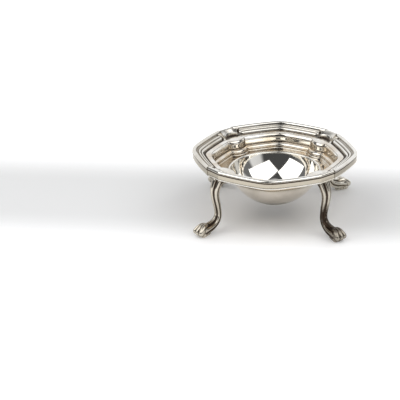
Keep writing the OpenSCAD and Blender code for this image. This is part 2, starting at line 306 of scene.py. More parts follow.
class Nodes:
    """A short way to write a tree of nodes."""

    def __init__(self, tree):
        self.tree = tree
        tree.nodes.clear()

    def add(self, kind, **values):
        """A node whose named inputs are set or joined. A low line stands for a space in a name."""
        node = self.tree.nodes.new(kind)
        for name, value in values.items():
            self.put(value, node.inputs[name.replace("_", " ")])
        return node

    def put(self, value, socket):
        if isinstance(value, bpy.types.NodeSocket):
            self.tree.links.new(value, socket)
        else:
            socket.default_value = value

    def math(self, operation, a, b=0.0, clamp=False):
        node = self.add("ShaderNodeMath")
        node.operation = operation
        node.use_clamp = clamp
        self.put(a, node.inputs[0])
        self.put(b, node.inputs[1])
        return node.outputs[0]

    def times(self, a, b, clamp=False):
        return self.math("MULTIPLY", a, b, clamp)

    def minus(self, a, b, clamp=False):
        return self.math("SUBTRACT", a, b, clamp)

    def between(self, value, low, high, to_low=0.0, to_high=1.0):
        node = self.add("ShaderNodeMapRange")
        for socket, given in zip(node.inputs, (value, low, high, to_low, to_high)):
            self.put(given, socket)
        return node.outputs[0]

    def smooth(self, value, low, high):
        node = self.add("ShaderNodeMapRange")
        node.interpolation_type = "SMOOTHSTEP"
        for socket, given in zip(node.inputs, (value, low, high)):
            self.put(given, socket)
        return node.outputs[0]

    def blend(self, factor, a, b):
        """A colour between two colours. These sockets share their names, so they go by number."""
        node = self.add("ShaderNodeMix")
        node.data_type = "RGBA"
        self.put(factor, node.inputs[0])
        self.put(a, node.inputs[6])
        self.put(b, node.inputs[7])
        return node.outputs[2]

    def noise(self, place, scale, detail, roughness, stretch=None):
        """Noise on a place, which stretch turns and scales by its two triples."""
        if stretch:
            mapping = self.add("ShaderNodeMapping", Vector=place, Rotation=stretch[0], Scale=stretch[1])
            place = mapping.outputs[0]
        node = self.add("ShaderNodeTexNoise", Vector=place, Scale=scale, Detail=detail, Roughness=roughness)
        return node.outputs[0]

    def kept(self, name):
        """A number that store() keeps on the mesh, or 0 where it keeps none."""
        node = self.add("ShaderNodeAttribute")
        node.attribute_name = name
        return node.outputs["Fac"]


BRIGHT = (0.87, 0.85, 0.80, 1.0)
WARM = (0.54, 0.49, 0.40, 1.0)
DARK = (0.05, 0.035, 0.025, 1.0)
TRAY_WARM = (0.62, 0.51, 0.37, 1.0)
SATIN_BRIGHT = (0.93, 0.87, 0.79, 1.0)
CAST_BRIGHT = (0.84, 0.81, 0.73, 1.0)
CAST_WARM = (0.42, 0.365, 0.28, 1.0)
# How far a rubbed ridge loses its tarnish and its tone
RUBBED_CLEAN = 0.5
RUBBED_PALE = 0.4
# How much tarnish and painted shade warm the colour, and how much they and the fine scratches dull the
# gloss
TARNISH_WARMTH = 0.8
TARNISH_DULL = 0.30
SCRATCH_DULL = 0.10


def silver(name, gloss, haze, tone_share, dark_share, dents, scratches, clean=BRIGHT, toned=WARM):
    """Worn silver: bright where it is rubbed, warm where it has toned, dark and dull in the hollows.

    gloss is the least roughness and haze what clouds add to it, tone_share and dark_share say how far
    toning and tarnish show, with the painted shade that the pieces keep among the tarnish, and dents and
    scratches are the depths of their bumps in millimetres.
    """
    material = bpy.data.materials.new(name)
    material.use_nodes = True
    n = Nodes(material.node_tree)
    place = n.add("ShaderNodeTexCoord").outputs["Object"]
    clouds = n.noise(place, 130.0, 4.0, 0.6)
    specks = n.noise(place, 900.0, 3.0, 0.6)
    scratches_a = n.noise(place, 500.0, 2.0, 0.7, ((0.3, 0.2, 0.7), (14.0, 0.7, 4.0)))
    scratches_b = n.noise(place, 600.0, 2.0, 0.7, ((0.9, 0.5, 2.0), (1.0, 16.0, 5.0)))
    lines = n.math("MAXIMUM", n.between(scratches_a, 0.62, 0.75), n.between(scratches_b, 0.64, 0.76))
    hollow = n.kept("hollow")
    ridge = n.kept("ridge")
    # This holds real tarnish and also the painted shade that some pieces keep
    tarnish_and_shade = n.kept("tarnish_and_shade")
    patchy = n.between(specks, 0.25, 0.7, 0.6, 1.0)
    rubbed = n.minus(tarnish_and_shade, n.times(ridge, RUBBED_CLEAN))
    depth = n.times(n.math("MAXIMUM", hollow, rubbed), patchy, True)
    toning = n.times(n.between(clouds, 0.38, 0.68), tone_share)
    warmth = n.math("ADD", n.kept("tone"), n.times(tarnish_and_shade, TARNISH_WARMTH))
    toning = n.math("ADD", toning, warmth, True)
    toning = n.minus(toning, n.times(ridge, RUBBED_PALE), True)
    colour = n.blend(toning, clean, toned)
    colour = n.blend(n.times(depth, dark_share, True), colour, DARK)
    dull = n.between(clouds, 0.3, 0.75, gloss, gloss + haze)
    dull = n.math("ADD", dull, n.times(lines, SCRATCH_DULL))
    dull = n.math("ADD", dull, n.times(depth, TARNISH_DULL), True)
    waves = n.noise(place, 95.0, 1.0, 0.4)
    bump_dents = n.add("ShaderNodeBump", Strength=1.0, Distance=dents * MM, Height=waves)
    grain = n.math("ADD", lines, n.times(specks, 0.5))
    bump_lines = n.add("ShaderNodeBump", Strength=0.5, Distance=scratches * MM, Height=grain)
    n.put(bump_dents.outputs[0], bump_lines.inputs["Normal"])
    metal = n.add("ShaderNodeBsdfPrincipled", Metallic=1.0, Base_Color=colour, Roughness=dull)
    n.put(bump_lines.outputs[0], metal.inputs["Normal"])
    n.add("ShaderNodeOutputMaterial", Surface=metal.outputs[0])
    return material


rim_silver = silver("worn_rim_silver", 0.07, 0.07, 0.35, 1.0, 0.10, 0.004)
tray_silver = silver("toned_tray_silver", 0.05, 0.05, 0.7, 1.0, 0.20, 0.004, toned=TRAY_WARM)
bowl_mirror = silver("polished_bowl_silver", 0.035, 0.03, 0.10, 0.5, 0.03, 0.002)
bowl_satin = silver("satin_bowl_silver", 0.07, 0.05, 0.3, 0.5, 0.05, 0.004, clean=SATIN_BRIGHT)
cast_silver = silver("cast_leg_silver", 0.08, 0.06, 0.4, 1.0, 0.06, 0.004, CAST_BRIGHT, CAST_WARM)


# Rim mouldings

# The groove's strength, half width of its flat and fade, inside and outside the reeds, in millimetres
INNER_GROOVE = (1.25, 0.25, 0.3)
OUTER_GROOVE = (0.75, 0.0, 0.42)
# Strength and width of the dark between the reeds, and of the dark beside the roll
REED_VALLEY = (1.1, 0.27)
BESIDE_ROLL = (0.55, 0.25)
# How far past its outermost point the roll turns under, in degrees
ROLL_UNDER = 26
# Rises on the skirt with their tarnish: over the bead, and down from the middle of the roll.
# # The dark down from the roll is painted shade under the roll.
OVER_BEAD = ((0.15, 0.3), (0.4, 0.16))
SHADE_UNDER_ROLL = ((0.95, 0.16), (0.7, 1.6))
# Tarnish at a moulding's two ends, and the share of half its length that it fades over
END_TARNISH = 0.3
END_FADE = 0.012
# The left moulding is painted warmer than the others
LEFT_WARMER = 0.35


def relief(away):
    """The reeds rise and their groove sinks by the distance from the middle line between the reeds."""
    if away < REED_PITCH / 2 + REED_RADIUS:
        rise = math.sqrt(max(0.0, REED_RADIUS**2 - (away - REED_PITCH / 2) ** 2))
        return rise - REED_SINK * REED_RADIUS
    return -math.sqrt(max(0.0, GROOVE_RADIUS**2 - (away - GROOVE_SWING) ** 2))


def near(distance, width):
    """A smooth share of 1 at a line, which falls away beside it."""
    return math.exp(-((distance / width) ** 2))


def slope_tarnish(x, past):
    """The dark of the inner and outer groove, between the reeds and beside the roll."""
    away = math.hypot(x, past)
    sunk = abs(away - GROOVE_SWING)
    strength, flat, fade = INNER_GROOVE if x > 0 or past > 0 else OUTER_GROOVE
    groove = strength * near(max(0.0, sunk - flat), fade)
    valley = REED_VALLEY[0] * near(away, REED_VALLEY[1])
    beside_roll = BESIDE_ROLL[0] * near(x + SLOPE_RUN / 2, BESIDE_ROLL[1])
    return max(groove, valley, beside_roll)


def moulding_section(past):
    """Points of a section across the moulding: distance in, rise, tarnish with painted shade, tone.

    past is how far the section lies past the straight run of the reeds, in the loop round their ends.
    """
    bead_x = SKIRT_INSET + SKIRT_WALL / 2 - FOOT_BEAD / 4
    bead_z = FOOT_BEAD - SKIRT_DEPTH
    skirt_back = SKIRT_INSET + SKIRT_WALL
    points = [(skirt_back, -MOULDING_DEPTH, 0.3, 1.0), (skirt_back, bead_z, 0.3, 1.0)]
    points += [(x, z, 0.0, 0.1) for x, z in arc(bead_x, bead_z, FOOT_BEAD, -30, -210, 8)]
    points.append((SKIRT_INSET, bead_z + FOOT_BEAD, 0.5, 1.0))
    points += [(SKIRT_INSET, bead_z + FOOT_BEAD + rise, dark, 1.0) for rise, dark in OVER_BEAD]
    # Painted shade under the roll: down the skirt from it, and on the roll's underside
    points += [(SKIRT_INSET, -ROLL_RADIUS - fall, dark, 1.0) for fall, dark in SHADE_UNDER_ROLL]
    for k, (x, z) in enumerate(arc(ROLL_RADIUS, -ROLL_RADIUS, ROLL_RADIUS, 180 + ROLL_UNDER, 25, 14)):
        points.append((x, z, max(0.0, 1.8 - 0.5 * k), max(0.05, 0.6 - 0.15 * k)))
    for x in np.linspace(-SLOPE_RUN / 2, SLOPE_RUN / 2, 57):
        z = relief(math.hypot(x, past)) - ROLL_RADIUS - (x / SLOPE_RUN + 0.5) * SLOPE_DROP
        points.append((REED_MIDDLE + x, z, slope_tarnish(x, past), 0.1))
    points[-1] = (*points[-1][:2], 0.6, 0.3)
    points.append((MOULDING_WIDTH, -MOULDING_DEPTH, 0.9, 0.3))
    return points


def moulding_stations():
    """Shares t of half a side along the moulding, each with its distance past the reeds' straight run."""
    half_length = math.radians(POINT_TURN) * POINT_RADIUS
    turn = end_turn(REED_MIDDLE, HALF_STRAP) - POINT_TURN
    half_length += (SIDE_RADIUS - REED_MIDDLE) * math.radians(turn)
    reed_length = half_length - MOULDING_END - END_LOOP
    stations = [(t, 0.0) for t in np.linspace(0, reed_length / half_length, 40)]
    for share in np.linspace(0, 1, 26)[1:]:
        stations.append(((reed_length + share * END_LOOP) / half_length, share * END_LOOP))
    for share in (0.3, 0.6, 1.0):
        start = (reed_length + END_LOOP) / half_length
        stations.append((start + share * (1 - start), END_LOOP + share * MOULDING_END))
    return [(-t, past) for t, past in stations[:0:-1]] + stations


def rim_rings():
    """Rings of places along a side, and the tarnish, with painted shade, and the tone of each place."""
    rings, kept = [], []
    for t, past in moulding_stations():
        ring = []
        section = moulding_section(past)
        end = END_TARNISH * near(1 - abs(t), END_FADE)
        for inset, rise, _, _ in section:
            x, y = side_place(inset, t, HALF_STRAP + SEAT_GAP)
            ring.append((x, y, TOTAL_HEIGHT + rise))
        rings.append(ring)
        kept.append([(max(tarnish_and_shade, end), tone) for _, _, tarnish_and_shade, tone in section])
    return np.array(rings), np.array(kept).reshape(-1, 2)


rim_shape, rim_kept = rim_rings()
for side, turn in SIDE_TURNS.items():
    mesh = loft("rim_" + side, turned(rim_shape, turn))
    hollows(mesh, 0.25, 0)
    store_both(mesh, rim_kept + [0.0, LEFT_WARMER if side == "left" else 0.0])
    set_piece("rim_moulding_" + side, mesh, ["rim_" + side], [rim_silver], 60)


# Straps

# How far the face stands out from the corner, so that it is nearly flush with the mouldings
STRAP_PROUD = 1.9
# The reed on the strap: its radius, its place in from the corner, its height and its fall towards the sides
STRAP_REED = 0.45
STRAP_REED_IN = 2.2
STRAP_REED_DROP = 1.75
STRAP_FALL = 0.45
# How far the reed bends in at the strap's sides, and where the strap ends in its middle
STRAP_ARCH = 1.6
STRAP_FOOT = 5.5
# Along the hollow at the strap's foot, painted dark as shade: share of its run, share of its fall, tarnish
STRAP_HOLLOW_SHADE = (
    (0.1, 0.3, 0.6),
    (0.22, 0.55, 1.1),
    (0.4, 0.78, 1.2),
    (0.6, 0.93, 1.2),
    (0.8, 1.0, 0.9),
    (1.0, 1.0, 0.1),
)
# Tarnish at the strap's two side edges, and the share of its width that it fades over
STRAP_SEAM = (0.8, 0.03)
# Shares of the strap's width where its rows stand, close together at its sides
FIRST_ROWS = (0, 0.015, 0.04, 0.08, 0.13, 0.19, 0.27, 0.38)
STRAP_ROWS = (*FIRST_ROWS, 0.5, *(1 - share for share in reversed(FIRST_ROWS)))


def strap_profile(share):
    """Distance in from the corner, rise, tarnish with painted shade, and tone, at a share of the strap's
    width.
    """
    side = min(share, 1 - share)
    bend = STRAP_ARCH * abs(2 * share - 1) ** 3
    foot = STRAP_FOOT + bend / 2
    seam = STRAP_SEAM[0] * near(side, STRAP_SEAM[1])
    face = SKIRT_INSET - STRAP_PROUD
    flat = face + 0.15
    points = [
        (face, -FLANGE_DROP, 0.3, 0.6),
        (face, -FLANGE_DROP + 0.6, 0.1, 0.2),
        (flat, -FLANGE_DROP + 0.75, 0.7, 1.0),
        (flat, -FLANGE_DROP + 1.0, 0.15, 1.0),
        (flat, -ROLL_RADIUS - 1.0, 0.15, 1.0),
        # Painted shade in the quirk under the roll and on the roll's underside
        (face + 0.25, -ROLL_RADIUS - 0.75, 1.6, 1.0),
    ]
    roll = arc(face + ROLL_RADIUS, -ROLL_RADIUS - 0.1, ROLL_RADIUS, 180 + ROLL_UNDER, 45, 14)
    for k, (x, z) in enumerate(roll):
        points.append((x, z, max(0.0, 1.8 - 0.5 * k), max(0.15, 0.6 - 0.15 * k)))
    start, fall = points[-1][:2]
    middle, level = STRAP_REED_IN + bend, -STRAP_REED_DROP - STRAP_FALL * bend
    edge, low = middle - STRAP_REED, level + 0.1
    for part in (0.35, 0.7, 0.92):
        points.append((start + part * (edge - start), fall + part * (low - fall), 0.0, 0.15))
    points.append((edge, low, 0.6, 0.3))
    points += [(x, z, 0.0, 0.05) for x, z in arc(middle, level, STRAP_REED, 140, 10, 8)]
    start, fall = points[-1][:2]
    # The hollow at the strap's foot takes painted shade
    for run, drop, dark in STRAP_HOLLOW_SHADE:
        place = start + run * (foot - 0.15 - start)
        points.append((place, fall + drop * (-BORDER_DROP - fall), dark, 0.3))
    points += [
        (foot, -BORDER_DROP, 0.05, 0.1),
        (foot, -MOULDING_DEPTH, 0.4, 0.4),
        (SKIRT_INSET + SKIRT_WALL, -MOULDING_DEPTH, 0.4, 0.4),
        (SKIRT_INSET + SKIRT_WALL, -FLANGE_DROP, 0.4, 0.4),
    ]
    return [(x, z, max(seam, tarnish_and_shade), tone) for x, z, tarnish_and_shade, tone in points]


def strap_rings():
    """Rings of places across a strap, and the tarnish, with painted shade, and the tone of each place."""
    rings, kept = [], []
    for share in STRAP_ROWS:
        y = (2 * share - 1) * HALF_STRAP
        profile = strap_profile(share)
        rings.append([(CORNER_REACH - x, y, TOTAL_HEIGHT + z) for x, z, _, _ in profile])
        kept += [point[2:] for point in profile]
    return np.array(rings), np.array(kept)


strap_shape, strap_kept = strap_rings()
for corner, turn in CORNER_TURNS.items():
    mesh = loft("strap_" + corner, turned(strap_shape, turn))
    hollows(mesh, 0.3, 0)
    store_both(mesh, strap_kept)
    set_piece("corner_strap_" + corner, mesh, ["strap_" + corner], [rim_silver], 40)


# Tray

EDGE_RADIUS = WALL_HEIGHT / 15
# The wall's upper band, and its two rolls, in shares of the wall's run and height
BAND = ((0.0, 0.035), (0.09, 0.09), (0.165, 0.17), (0.21, 0.26), (0.225, 0.36), (0.24, 0.46), (0.29, 0.55))
ROLL_RUNS = (0.84, 1.0)
ROLL_DROPS = (0.59, 0.86)
ROLL_RADII = (0.21, 0.08)
# The size of the quirk over each roll, and the strength and width of the dark at the foot of the band
QUIRK = 0.16
BAND_DARK = (0.9, 0.045)
# How much nearer the wall is to the middle at the corners, for the same row
CORNER_SHIFT = WALL_TOP - CORNER_WALL_INSET
# How much larger the radius of the wall's blunt points is than the outline's
WALL_POINT_SOFTER = 8.0
# Where the wall's sides end beside the diagonal, half the width of the corner lobe, and half its turn
LOBE_EDGE = 5.5
LOBE_HALF = 0.96 * LOBE_EDGE
LOBE_TURN = 62.0
# The right side of the tray is painted paler: how much, and how far to the right it starts and is full
RIGHT_PALER = (0.6, 0.35, 0.75)


def lobe_depth():
    """How far the middle of a corner lobe lies past the ends of the sides beside it."""
    x, y = side_place(WALL_TOP, 1, LOBE_EDGE)
    return CORNER_WALL_INSET - CORNER_REACH + (x + y) / math.sqrt(2)


LOBE_DEPTH = lobe_depth()


def tray_edge(inset, drop, radius, tone):
    """Rows of a rounded edge: distance in, drop, tarnish, tone."""
    return [(x, -z, 0.0, tone) for x, z in arc(inset - radius, -drop - radius, radius, 90, 0, 8)]


def wall_rows():
    """The wall of the tray from the border to the ledge: a hollow band, a broad roll and a foot roll."""
    rows = tray_edge(WALL_TOP, BORDER_DROP, BAND[0][1] * WALL_HEIGHT, 0.0)
    for run, fall in smooth_line(np.array(BAND), 4)[1:]:
        tarnish_and_shade = BAND_DARK[0] * near(fall - BAND[-1][1], BAND_DARK[1])
        tone = max(0.0, fall - 0.2)
        rows.append((WALL_TOP + run * WALL_RUN, BORDER_DROP + fall * WALL_HEIGHT, tarnish_and_shade, tone))
    for run, fall, radius in zip(ROLL_RUNS, ROLL_DROPS, ROLL_RADII):
        start = WALL_TOP + run * WALL_RUN - radius * WALL_HEIGHT
        drop = BORDER_DROP + fall * WALL_HEIGHT
        rows.append((start - QUIRK, drop + QUIRK, 1.1, 0.4))
        edge = tray_edge(WALL_TOP + run * WALL_RUN, drop, radius * WALL_HEIGHT, 0.25)
        rows.append((*edge[0][:2], 0.8, 0.3))
        rows += edge[1:]
    foot = BORDER_DROP + ROLL_DROPS[-1] * WALL_HEIGHT
    wall_foot = WALL_TOP + WALL_RUN
    rows.append((wall_foot, (foot + 2 * LEDGE_DROP) / 3, 0.0, 0.2))
    rows.append((wall_foot, LEDGE_DROP, 0.8, 0.3))
    rows.append((wall_foot + 0.25, LEDGE_DROP, 0.2, 0.1))
    return rows


def tray_section():
    """Rows round the tray's section: over the border, down the wall, round the hole and back underneath.

    A row gives the distance in from the sides and from the corners, the drop, the share of the lobe that
    it takes part in, tarnish and tone. Both distances are 0 on the hole for the bowl.
    """

    def row(inset, drop, tarnish_and_shade, tone):
        return (inset, inset - CORNER_SHIFT, drop, 1, tarnish_and_shade, tone)

    edge = SKIRT_INSET + SKIRT_WALL + SEAT_GAP
    wall_foot = WALL_TOP + WALL_RUN
    rows = [
        (edge, edge, MOULDING_DEPTH, 0, 0, 0.3),
        (MOULDING_WIDTH + SEAT_GAP, STRAP_FOOT + SEAT_GAP, MOULDING_DEPTH, 0, 0.9, 0.3),
        (MOULDING_WIDTH + SEAT_GAP, STRAP_FOOT + SEAT_GAP, BORDER_DROP, 0, 0.7, 0.2),
        (MOULDING_WIDTH + 5 * SEAT_GAP, STRAP_FOOT + 5 * SEAT_GAP, BORDER_DROP, 0, 0, 0.05),
    ]
    rows += [row(*given) for given in wall_rows()]
    rows += [
        (0, 0, LEDGE_DROP, 0, 0.6, 0.2),
        (0, 0, LEDGE_DROP + 0.5, 0, 0.3, 0.4),
        row(wall_foot + 0.15, LEDGE_DROP + 0.5, 0.2, 0.5),
        row(wall_foot - 0.35, LEDGE_DROP + 0.25, 0.2, 0.5),
        row(wall_foot - 0.55, LEDGE_DROP - 0.4, 0.2, 0.5),
        row(WALL_TOP - SHEET, BORDER_DROP + ROLL_DROPS[0] * WALL_HEIGHT + SHEET, 0.1, 0.5),
        row(WALL_TOP - SHEET - EDGE_RADIUS, FLANGE_DROP, 0.3, 0.5),
        (edge, edge, FLANGE_DROP, 0, 0.3, 0.5),
    ]
    return rows


def on_hole(x, y):
    """The place on the hole for the bowl in the direction of a place."""
    scale = (MOUTH_RADIUS + SEAT_GAP) / math.hypot(x, y)
    return x * scale, y * scale


def side_ring(rows, t):
    """One section across a side, from the outline's blunt form to the softer form of the wall."""
    ring = []
    for by_side, _, drop, lobe_share, _, _ in rows:
        if by_side == 0:
            place = on_hole(*side_place(WALL_TOP, t, LOBE_EDGE))
        elif lobe_share:
            place = side_place(by_side, t, LOBE_EDGE, WALL_POINT_SOFTER)
        else:
            place = side_place(by_side, t, HALF_STRAP)
        ring.append((*place, TOTAL_HEIGHT - drop))
    return ring


def corner_ring(rows, turn):
    """One section across a corner, where the wall bulges in as a rounded lobe."""
    a = math.radians(turn)
    share = math.sin(a) / math.sin(math.radians(LOBE_TURN))
    bulge = (1 - math.cos(a)) / (1 - math.cos(math.radians(LOBE_TURN)))
    ring = []
    for _, by_corner, drop, lobe_share, _, _ in rows:
        inset = by_corner - lobe_share * LOBE_DEPTH * bulge
        if STRAP_FOOT < by_corner < STRAP_FOOT + 1:
            inset += STRAP_ARCH / 2 * abs(share) ** 3
        if by_corner == 0:
            place = on_hole(*corner_place(WALL_TOP, share * LOBE_HALF))
        elif lobe_share:
            place = corner_place(inset, share * LOBE_HALF)
        else:
            place = corner_place(inset, share * (0.98 * HALF_STRAP))
        ring.append((*place, TOTAL_HEIGHT - drop))
    return ring


def tray():
    """The tray as one closed band of sections, round the four sides and corners."""
    rows = tray_section()
    quarter = [side_ring(rows, t) for t in np.linspace(-1, 1, 61)]
    quarter += [corner_ring(rows, turn) for turn in np.linspace(-LOBE_TURN, LOBE_TURN, 21)]
    rings = np.concatenate([turned(quarter, turn) for turn in SIDE_TURNS.values()])
    count, size = rings.shape[:2]
    places = rings.reshape(-1, 3)
    mesh = bpy.data.meshes.new("tray")
    mesh.from_pydata([tuple(p) for p in places * MM], [], ring_faces(count, size, count))
    mesh.update()
    hollows(mesh, 0.25, 0)
    kept = np.tile([row[4:] for row in rows], (count, 1))
    to_right = places[:, 0] / np.linalg.norm(places[:, :2], axis=1)
    most, start, full = RIGHT_PALER
    # Less tarnish and tone towards the right
    rubbed = most * np.clip((to_right - start) / (full - start), 0, 1)
    store_both(mesh, kept * (1 - rubbed)[:, None])
    return mesh


set_piece("shaped_tray", tray(), ["surround"], [tray_silver], 50)


# Bowl

BOWL_SIDES = 128
BOWL_RINGS = 49
# Painted shade outside, at the foot and under the tray: how much, and the turns from the bowl's lowest
# # point, in degrees, where it starts and is full
FOOT_SHADE = (1.2, 42, 25)
SHOULDER_SHADE = (1.2, 62, 76)
# What the painted shade gives to tarnish and to tone
SHADE_SHARES = (0.8, 0.7)


def outside_shade(points):
    """Painted shade of the bowl, kept as tarnish and tone: bright inside and round the middle of its
    outside.
    """
    place = np.array(points) / MM - (0, 0, BOWL_CENTRE)
    reach = np.linalg.norm(place, axis=1)
    turn = np.degrees(np.arccos(np.clip(-place[:, 2] / reach, -1, 1)))
    dark = np.zeros(len(place))
    for level, start, full in (FOOT_SHADE, SHOULDER_SHADE):
        share = np.clip((turn - start) / (full - start), 0, 1)
        dark += level * share * share * (3 - 2 * share)
    dark = np.where(reach > BOWL_RADIUS - BOWL_WALL / 2, dark, 0)
    return np.outer(dark, SHADE_SHARES)


def bowl():
    """A part of a sphere with a wall, turned about its middle line.

    Its rings run down the inside from the mouth and up the outside again.
    """
    profile = []
    for radius, inner in ((BOWL_RADIUS - BOWL_WALL, True), (BOWL_RADIUS, False)):
        top = math.acos((BOWL_CENTRE - MOUTH_HEIGHT) / radius)
        turns = np.linspace(top, 0, BOWL_RINGS) if inner else np.linspace(0, top, BOWL_RINGS)
        profile += [(radius * math.sin(a), BOWL_CENTRE - radius * math.cos(a)) for a in turns]
    points, index = [], []
    for r, z in profile:
        if r < 1e-6:
            index.append([len(points)] * BOWL_SIDES)
            points.append((0, 0, z * MM))
            continue
        index.append([len(points) + i for i in range(BOWL_SIDES)])
        for i in range(BOWL_SIDES):
            a = 2 * math.pi * i / BOWL_SIDES
            points.append((r * math.cos(a) * MM, r * math.sin(a) * MM, z * MM))
    faces, slots = [], []
    for k, low in enumerate(index):
        if k == BOWL_RINGS - 1:
            continue
        high = index[(k + 1) % len(index)]
        for i in range(BOWL_SIDES):
            j = (i + 1) % BOWL_SIDES
            corners = [low[i], low[j], high[j], high[i]]
            faces.append([c for n, c in enumerate(corners) if c not in corners[:n]])
            slots.append(0 if k < BOWL_RINGS - 1 else 1)
    mesh = bpy.data.meshes.new("bowl")
    mesh.from_pydata(points, [], faces)
    mesh.polygons.foreach_set("material_index", slots)
    store_both(mesh, outside_shade(points))
    return outward(mesh)


bowl_mesh = bowl()
bowl_slots = [p.material_index for p in bowl_mesh.polygons]
set_piece("bowl_shell", bowl_mesh, ["bowl"], [bowl_mirror, bowl_satin], 40)
# Clearing the mesh's materials in set_piece() set every face back to the first
bowl_mesh.polygons.foreach_set("material_index", bowl_slots)


# Wire at the mouth of the bowl, swept by Geometry Nodes

LOOP_SIDES = 192
WIRE_SIDES = 16
WIRE_TONE = 0.15


def wire_tree():
    """A half-round section swept round a loop, lifted to its height and given its finish."""
    tree = bpy.data.node_groups.new("mouth_wire", "GeometryNodeTree")
    face = tree.interface
    face.new_socket("Geometry", in_out="OUTPUT", socket_type="NodeSocketGeometry")
    for name in ("Loop radius", "Wire radius", "Height"):
        face.new_socket(name, in_out="INPUT", socket_type="NodeSocketFloat")
    face.new_socket("Finish", in_out="INPUT", socket_type="NodeSocketMaterial")
    n = Nodes(tree)
    given = n.add("NodeGroupInput")
    loop_radius, wire_radius, height, material = given.outputs[:4]
    loop = n.add("GeometryNodeCurvePrimitiveCircle", Resolution=LOOP_SIDES, Radius=loop_radius)
    half_round = n.add("GeometryNodeCurveArc", Resolution=WIRE_SIDES, Radius=wire_radius)
    for name, value in (("Start Angle", math.pi), ("Sweep Angle", math.pi), ("Connect Center", False)):
        n.put(value, half_round.inputs[name])
    closed = n.add("GeometryNodeSetSplineCyclic", Cyclic=True)
    n.put(half_round.outputs["Curve"], closed.inputs[0])
    sweep = n.add("GeometryNodeCurveToMesh", Curve=loop.outputs["Curve"], Profile_Curve=closed.outputs[0])
    lift = n.add("ShaderNodeCombineXYZ", Z=height)
    raised = n.add("GeometryNodeTransform", Geometry=sweep.outputs[0], Translation=lift.outputs[0])
    real = n.add("GeometryNodeRealizeInstances", Geometry=raised.outputs[0])
    finish = n.add("GeometryNodeSetMaterial", Geometry=real.outputs[0], Material=material)
    n.put(finish.outputs[0], n.add("NodeGroupOutput").inputs[0])
    return tree


def mouth_wire():
    """The wire as a plain mesh, with its hollows and tone."""
    tree = wire_tree()
    piece = working_piece("mouth_wire_work", bpy.data.meshes.new("mouth_wire_start"))
    sweep = piece.modifiers.new("sweep", "NODES")
    sweep.node_group = tree
    values = {
        "Loop radius": MOUTH_RADIUS * MM,
        "Wire radius": RING_RADIUS * MM,
        "Height": MOUTH_HEIGHT * MM,
        "Finish": rim_silver,
    }
    for socket in tree.interface.items_tree:
        if socket.name in values:
            sweep[socket.identifier] = values[socket.name]
    mesh = outward(plain_mesh(piece, "mouth_wire"))
    hollows(mesh, 0.3, 0)
    store(mesh, "tone", np.full(len(mesh.vertices), WIRE_TONE))
    return mesh


set_piece("bowl_mouth_wire", mouth_wire(), ["bowl_ring"], [rim_silver], 50)


# Legs

# From the top of the leg down to below the knee: share of its height, half depth, half width, reach
KNEE_ROWS = (
    (0.92, 1.15, 1.3, (LEG_TOP_REACH + KNEE_REACH) / 2),
    (0.78, 1.05, 1.05, KNEE_REACH),
    (0.65, 0.9, 0.9, KNEE_REACH),
)
# From the ankle to the toes: share of the way, and height, half depth and half width in shares of the paw
PAW_ROWS = (
    (0.10, 1.04, 0.30, 0.25),
    (0.28, 0.75, 0.335, 0.29),
    (0.58, 0.56, 0.38, 0.35),
    (1.0, 0.47, 0.42, 0.41),
    (1.17, 0.4, 0.3, 0.34),
)
LEG_SIDES = 60
FLUTES = 5
FLUTE_DEPTH = 0.30
# A toe's half width as a share of its half height
TOE_SLIMNESS = 0.80
# Under each toe, the places of the balls that make its sole, and how slim they are
SOLE_PLACES = (TOE_RADIUS, 3.2, 4.6, 5.5)
SOLE_SLIMNESS = 0.85
VOXEL = 0.17
# Tarnish in the flutes, and painted shade in the web at the inner top of the leg, under the tray
FLUTE_DARK = 1.4
WEB_SHADE = 1.4
CAST_TONE = 0.6
# How much painted shade each leg takes, most at the front right: all over, at its foot, and in the creases
# between its toes
LEG_SHADE = {
    "front_right": (0.6, 1.1, 2.5),
    "front_left": (0.35, 0.2, 2.5),
    "back_right": (0.05, 0.0, -0.2),
    "back_left": (0.05, 0.0, -0.2),
}


def leg_line():
    """Reach, height, half depth and half width along the leg, from its top to the toes."""
    rows = [
        (LEG_TOP_REACH, LEG_TOP + SHEET, LEG_TOP_DEPTH / 2, HALF_STRAP),
        (LEG_TOP_REACH, LEG_TOP, LEG_TOP_DEPTH / 2, HALF_STRAP),
    ]
    for share, deep, wide, reach in KNEE_ROWS:
        rows.append((reach, share * LEG_TOP, deep * KNEE_HALF, wide * KNEE_HALF))
    rows += [
        ((KNEE_REACH + ANKLE_REACH) / 2, 0.48 * LEG_TOP, 1.05 * ANKLE_HALF, 1.08 * ANKLE_HALF),
        (ANKLE_REACH + 0.4, 0.33 * LEG_TOP, ANKLE_HALF, ANKLE_HALF),
    ]
    for share, line, deep, wide in PAW_ROWS:
        reach = ANKLE_REACH + share * (PAW_REACH - ANKLE_REACH)
        rows.append((reach, line * PAW_HEIGHT, deep * PAW_HEIGHT, wide * PAW_WIDTH))
    return np.array(rows)


def flute(a, share):
    """How deep the flutes are at a turn about the leg, at a share of its length."""
    fade = min(1.0, share / 0.08) * min(1.0, max(0.0, (0.95 - share) / 0.12))
    return fade * (0.5 - 0.5 * math.cos(FLUTES * a)) ** 2


def leg_rings():
    """Rings along the leg, and how dark its flutes are at each place."""
    line = smooth_line(leg_line(), 10)
    count = len(line)
    rings, dark = [], []
    for k, (reach, height, deep, wide) in enumerate(line):
        before, after = line[max(k - 5, 0)], line[min(k + 5, count - 1)]
        run, rise = after[0] - before[0], after[1] - before[1]
        size = math.hypot(run, rise)
        ring = []
        for i in range(LEG_SIDES):
            a = 2 * math.pi * i / LEG_SIDES
            dark.append(flute(a, k / count))
            sunk = 1 - FLUTE_DEPTH * dark[-1]
            u, v = deep * sunk * math.cos(a), wide * sunk * math.sin(a)
            ring.append((reach - u * rise / size, v, height + u * run / size))
        rings.append(ring)
    return rings, dark


